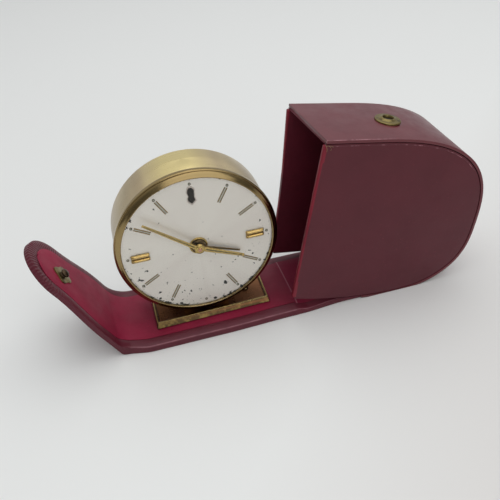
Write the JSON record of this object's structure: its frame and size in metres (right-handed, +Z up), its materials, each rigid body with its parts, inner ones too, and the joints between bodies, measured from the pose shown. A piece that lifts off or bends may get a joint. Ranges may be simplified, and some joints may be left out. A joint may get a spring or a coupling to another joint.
{
  "type": "travel alarm clock",
  "caption": "Round brass wind-up alarm clock standing in a folding red leather travel case, opened out, with a hinged hood and a snap flap.",
  "frame": {"origin": "on the underside of the base, straight below the middle of the clock", "axes": "+X along the case from the flap to the hood, +Y to the clock's back, +Z up; the dial looks to -Y"},
  "size_m": [0.1704, 0.0334, 0.0733],
  "materials": {
    "burgundy_leather": "smooth dark red leather with a soft sheen, worn at the edges",
    "crimson_lining": "thin crimson lining leather, matt",
    "aged_brass": "aged and slightly green",
    "polished_brass": "polished",
    "satin_brass": "satin, turned",
    "silvered_dial": "silvered with a fine brushed grain and dark age specks",
    "clear_crystal": "clear",
    "gilt_hands": "gilt, polished",
    "copper": "copper coloured",
    "steel": "plain steel",
    "movement_brass": "plain brass"
  },
  "bodies": {
    "case_base": {"base_panel": "burgundy_leather", "base_lining": "crimson_lining", "cradle": "polished_brass", "cradle_rivet_left": "aged_brass", "cradle_rivet_right": "aged_brass", "drum_case": "satin_brass", "bezel": "polished_brass", "crystal": "clear_crystal", "dial": "silvered_dial", "hour_marker_3": "gilt_hands", "hour_marker_9": "gilt_hands", "back_cover": "satin_brass", "front_plate": "movement_brass", "back_plate": "movement_brass", "pillar_1": "movement_brass", "pillar_2": "movement_brass", "pillar_3": "movement_brass"},
    "strap": {"link_strap": "burgundy_leather"},
    "hood": {"hood_front_panel": "burgundy_leather", "hood_back_panel": "burgundy_leather", "hood_band": "burgundy_leather", "hood_band_mouth": "burgundy_leather", "hood_inner_band": "crimson_lining", "hood_inner_band_mouth": "crimson_lining", "snap_socket": "aged_brass", "socket_eyelet": "aged_brass"},
    "flap": {"flap_panel": "burgundy_leather", "flap_lining": "crimson_lining", "snap_stud": "aged_brass", "snap_stud_cap": "aged_brass"},
    "minute_work": {"centre_arbor": "steel", "hand_setting_knob": "satin_brass", "minute_hand": "gilt_hands", "hand_cap": "copper"},
    "minute_wheel_body": {"minute_wheel": "movement_brass"},
    "hour_work": {"hour_wheel": "movement_brass", "hour_hand": "gilt_hands"},
    "alarm_setting": {"alarm_set_arbor": "steel", "alarm_setting_knob": "satin_brass"},
    "alarm_work": {"alarm_set_wheel": "movement_brass", "alarm_hand": "gilt_hands"},
    "time_key": {"time_winding_key": "satin_brass", "mainspring": "steel"},
    "alarm_key": {"alarm_winding_key": "satin_brass"},
    "barrel_body": {"mainspring_barrel": "movement_brass"},
    "centre_wheel_body": {"centre_wheel": "movement_brass"},
    "third_wheel_body": {"third_wheel": "movement_brass"},
    "fourth_wheel_body": {"fourth_wheel": "movement_brass"},
    "escape_wheel_body": {"escape_wheel": "movement_brass"},
    "pallet_body": {"pallet_lever": "steel"},
    "balance_body": {"balance_wheel": "movement_brass", "hairspring": "steel"},
    "alarm_barrel_body": {"alarm_barrel": "movement_brass"},
    "alarm_wheel_body": {"alarm_wheel": "movement_brass"},
    "hammer_body": {"alarm_hammer": "steel"},
    "stop_button": {"alarm_stop_button": "steel"},
    "regulator": {"regulator_lever": "steel"}
  },
  "joints": [
    {"name": "hood_fold", "type": "hinge", "parent": "case_base", "child": "strap", "pos_m": [0.0349, 0, 0.0008], "axis": [0, -1, 0], "range_deg": [0, 90], "deforming": ["hood_band_mouth", "hood_inner_band_mouth", "snap_socket", "socket_eyelet"]},
    {"name": "hood_tilt", "type": "hinge", "parent": "strap", "child": "hood", "pos_m": [0.06474, 0, 0.02814], "axis": [0, -1, 0], "range_deg": [0, 10.06]},
    {"name": "flap_fold", "type": "hinge", "parent": "case_base", "child": "flap", "pos_m": [-0.0348, 0, 0.00095], "axis": [0, 1, 0], "range_deg": [-60, 24]},
    {"name": "minute_hand_turn", "type": "hinge", "parent": "case_base", "child": "minute_work", "pos_m": [0, 0, 0.0367], "axis": [0, 1, 0], "continuous": true},
    {"name": "minute_wheel_turn", "type": "hinge", "parent": "case_base", "child": "minute_wheel_body", "pos_m": [0, 0, 0.0307], "axis": [0, 1, 0], "continuous": true},
    {"name": "hour_hand_turn", "type": "hinge", "parent": "case_base", "child": "hour_work", "pos_m": [0, 0, 0.0367], "axis": [0, 1, 0], "continuous": true},
    {"name": "alarm_knob_turn", "type": "hinge", "parent": "case_base", "child": "alarm_setting", "pos_m": [-0.00208, 0, 0.04852], "axis": [0, 1, 0], "continuous": true},
    {"name": "alarm_hand_turn", "type": "hinge", "parent": "case_base", "child": "alarm_work", "pos_m": [0, 0, 0.0367], "axis": [0, 1, 0], "continuous": true},
    {"name": "time_key_turn", "type": "hinge", "parent": "case_base", "child": "time_key", "pos_m": [-0.00891, 0, 0.02779], "axis": [0, 1, 0], "continuous": true, "deforming": ["mainspring"]},
    {"name": "alarm_key_turn", "type": "hinge", "parent": "case_base", "child": "alarm_key", "pos_m": [-0.013, 0, 0.0477], "axis": [0, 1, 0], "continuous": true},
    {"name": "fourth_wheel_turn", "type": "hinge", "parent": "case_base", "child": "fourth_wheel_body", "pos_m": [0.01369, 0, 0.03646], "axis": [0, 1, 0], "continuous": true},
    {"name": "third_wheel_turn", "type": "hinge", "parent": "case_base", "child": "third_wheel_body", "pos_m": [0.00859, 0, 0.04529], "axis": [0, 1, 0], "continuous": true},
    {"name": "centre_wheel_turn", "type": "hinge", "parent": "case_base", "child": "centre_wheel_body", "pos_m": [0, 0, 0.0367], "axis": [0, 1, 0], "continuous": true},
    {"name": "barrel_turn", "type": "hinge", "parent": "case_base", "child": "barrel_body", "pos_m": [-0.00891, 0, 0.02779], "axis": [0, 1, 0], "continuous": true},
    {"name": "escape_wheel_turn", "type": "hinge", "parent": "case_base", "child": "escape_wheel_body", "pos_m": [0.01205, 0, 0.02715], "axis": [0, 1, 0], "continuous": true},
    {"name": "pallet_swing", "type": "hinge", "parent": "case_base", "child": "pallet_body", "pos_m": [0.00547, 0, 0.02335], "axis": [0, 1, 0], "range_deg": [-5, 5]},
    {"name": "balance_swing", "type": "hinge", "parent": "case_base", "child": "balance_body", "pos_m": [0.00668, 0, 0.01646], "axis": [0, 1, 0], "range_deg": [-135, 135], "stiffness_Nm_per_rad": 0.0000012, "deforming": ["hairspring"]},
    {"name": "alarm_wheel_turn", "type": "hinge", "parent": "case_base", "child": "alarm_wheel_body", "pos_m": [-0.00818, 0, 0.05458], "axis": [0, 1, 0], "continuous": true},
    {"name": "alarm_barrel_turn", "type": "hinge", "parent": "case_base", "child": "alarm_barrel_body", "pos_m": [-0.013, 0, 0.0477], "axis": [0, 1, 0], "continuous": true},
    {"name": "hammer_swing", "type": "hinge", "parent": "case_base", "child": "hammer_body", "pos_m": [-0.00158, 0, 0.05458], "axis": [0, -1, 0], "range_deg": [0, 10]},
    {"name": "alarm_stop_press", "type": "slide", "parent": "case_base", "child": "stop_button", "axis": [0, -1, 0], "range_m": [0, 0.0012], "stiffness_N_per_m": 400},
    {"name": "regulator_swing", "type": "hinge", "parent": "case_base", "child": "regulator", "pos_m": [0.00668, 0, 0.01646], "axis": [0, 1, 0], "range_deg": [-18, 18]}
  ],
  "couplings": [
    {"joint": "hood_tilt", "follows": "hood_fold", "ratio": 0.11178},
    {"joint": "minute_wheel_turn", "follows": "minute_hand_turn", "ratio": -0.33333},
    {"joint": "hour_hand_turn", "follows": "minute_hand_turn", "ratio": 0.083333},
    {"joint": "alarm_hand_turn", "follows": "alarm_knob_turn", "ratio": -0.33333},
    {"joint": "third_wheel_turn", "follows": "fourth_wheel_turn", "ratio": -0.13333},
    {"joint": "centre_wheel_turn", "follows": "fourth_wheel_turn", "ratio": 0.016667},
    {"joint": "barrel_turn", "follows": "fourth_wheel_turn", "ratio": -0.0027778},
    {"joint": "escape_wheel_turn", "follows": "fourth_wheel_turn", "ratio": -8},
    {"joint": "alarm_barrel_turn", "follows": "alarm_wheel_turn", "ratio": -0.16667}
  ]
}
